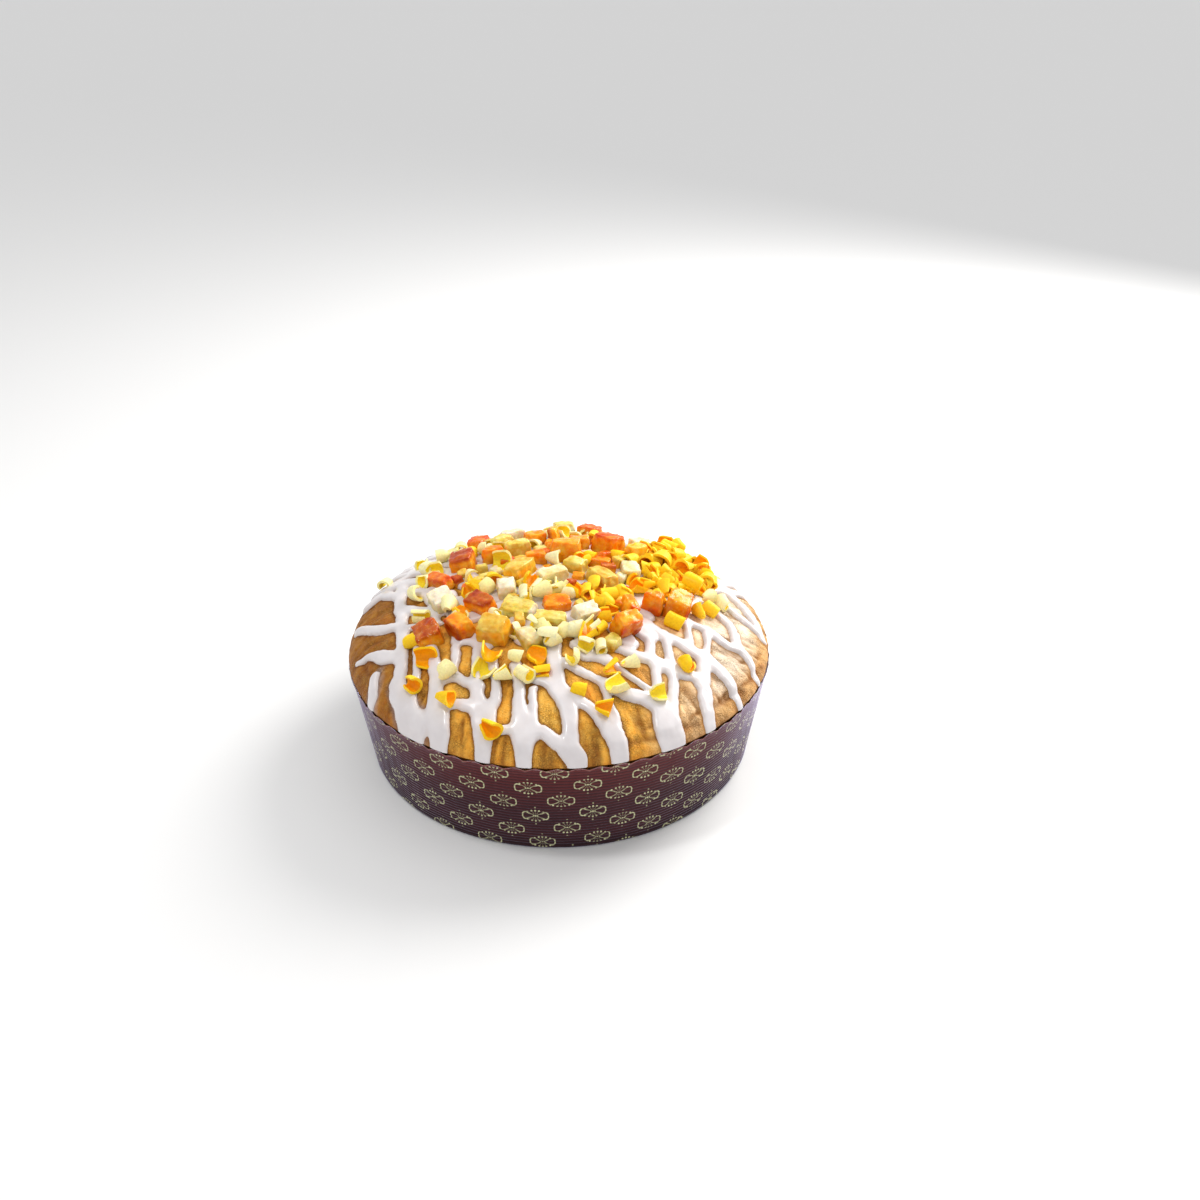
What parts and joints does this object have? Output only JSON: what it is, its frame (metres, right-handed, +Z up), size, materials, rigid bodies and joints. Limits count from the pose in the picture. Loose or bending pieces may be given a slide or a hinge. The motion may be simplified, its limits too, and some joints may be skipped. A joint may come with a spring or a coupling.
{
  "type": "citrus panettone",
  "caption": "Low domed festive loaf in a flared paper case, topped with an icing drizzle, candied citrus cubes and small curls.",
  "frame": {"origin": "centre of the flat base of the paper case", "axes": "+Z up, out of the dome; -Y towards the side seen first, +X to that viewer's right"},
  "size_m": [0.2104, 0.2107, 0.0923],
  "materials": {
    "paper": "dark brown corrugated baking paper with a pale printed ornament",
    "crust": "golden brown baked crust, dull and finely wrinkled",
    "icing": "set white icing, smooth with a soft gloss",
    "orange_peel": "candied orange peel, translucent and syrupy",
    "citron": "candied citron, pale and translucent",
    "yellow_curl": "lemon coloured curls, waxy",
    "orange_curl": "orange coloured curls, waxy"
  },
  "bodies": {
    "root": {"paper_case": "paper", "bread": "crust", "orange_peel_01": "orange_peel", "orange_peel_02": "orange_peel", "orange_peel_03": "orange_peel", "orange_peel_04": "orange_peel", "orange_peel_05": "orange_peel", "orange_peel_06": "orange_peel", "orange_peel_07": "orange_peel", "orange_peel_08": "orange_peel", "orange_peel_09": "orange_peel", "orange_peel_10": "orange_peel", "orange_peel_11": "orange_peel", "orange_peel_12": "orange_peel", "orange_peel_13": "orange_peel", "orange_peel_14": "orange_peel", "orange_peel_15": "orange_peel", "orange_peel_16": "orange_peel", "orange_peel_17": "orange_peel", "orange_peel_18": "orange_peel", "orange_peel_19": "orange_peel", "orange_peel_20": "orange_peel", "orange_peel_21": "orange_peel", "citron_01": "citron", "citron_02": "citron", "citron_03": "citron", "citron_04": "citron", "citron_05": "citron", "citron_06": "citron", "citron_07": "citron", "citron_08": "citron", "citron_09": "citron", "citron_10": "citron", "citron_11": "citron", "citron_12": "citron", "citron_13": "citron", "citron_14": "citron", "citron_15": "citron", "citron_16": "citron", "citron_17": "citron", "citron_18": "citron"}
  },
  "joints": []
}
